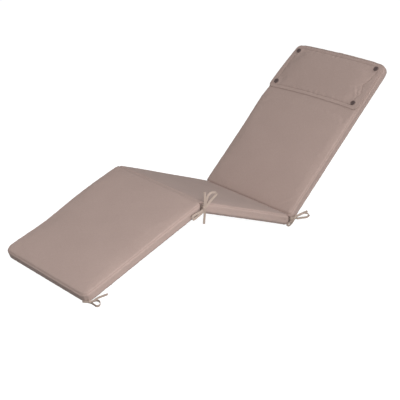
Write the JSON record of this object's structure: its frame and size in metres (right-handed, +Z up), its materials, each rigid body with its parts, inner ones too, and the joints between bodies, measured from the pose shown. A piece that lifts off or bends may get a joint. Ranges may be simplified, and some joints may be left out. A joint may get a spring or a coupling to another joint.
{
  "type": "steamer chair cushion",
  "caption": "Folding steamer chair cushion with filled leg, seat and back sections, a thin head pillow held by press studs, and tape ties tied in bows.",
  "frame": {"origin": "on the floor under the middle of the cushion's width and length", "axes": "+Z up, +Y from the foot end to the head end, +X towards the side that carries the ties"},
  "size_m": [0.5171, 1.5017, 0.5329],
  "materials": {
    "cover_cloth": "matt woven cloth, taupe",
    "tie_tape": "matt woven tape, warm taupe",
    "stud_cap": "satin enamel, dark grey-brown"
  },
  "bodies": {
    "root": {"leg_panel": "cover_cloth", "seat_panel": "cover_cloth", "back_panel": "cover_cloth", "head_pillow": "cover_cloth", "knee_hinge": "cover_cloth", "hip_hinge": "cover_cloth", "stud_near_low": "stud_cap", "stud_near_top": "stud_cap", "stud_far_low": "stud_cap", "stud_far_top": "stud_cap", "knee_tie": "tie_tape", "hip_tie": "tie_tape", "foot_tie": "tie_tape"}
  },
  "joints": []
}
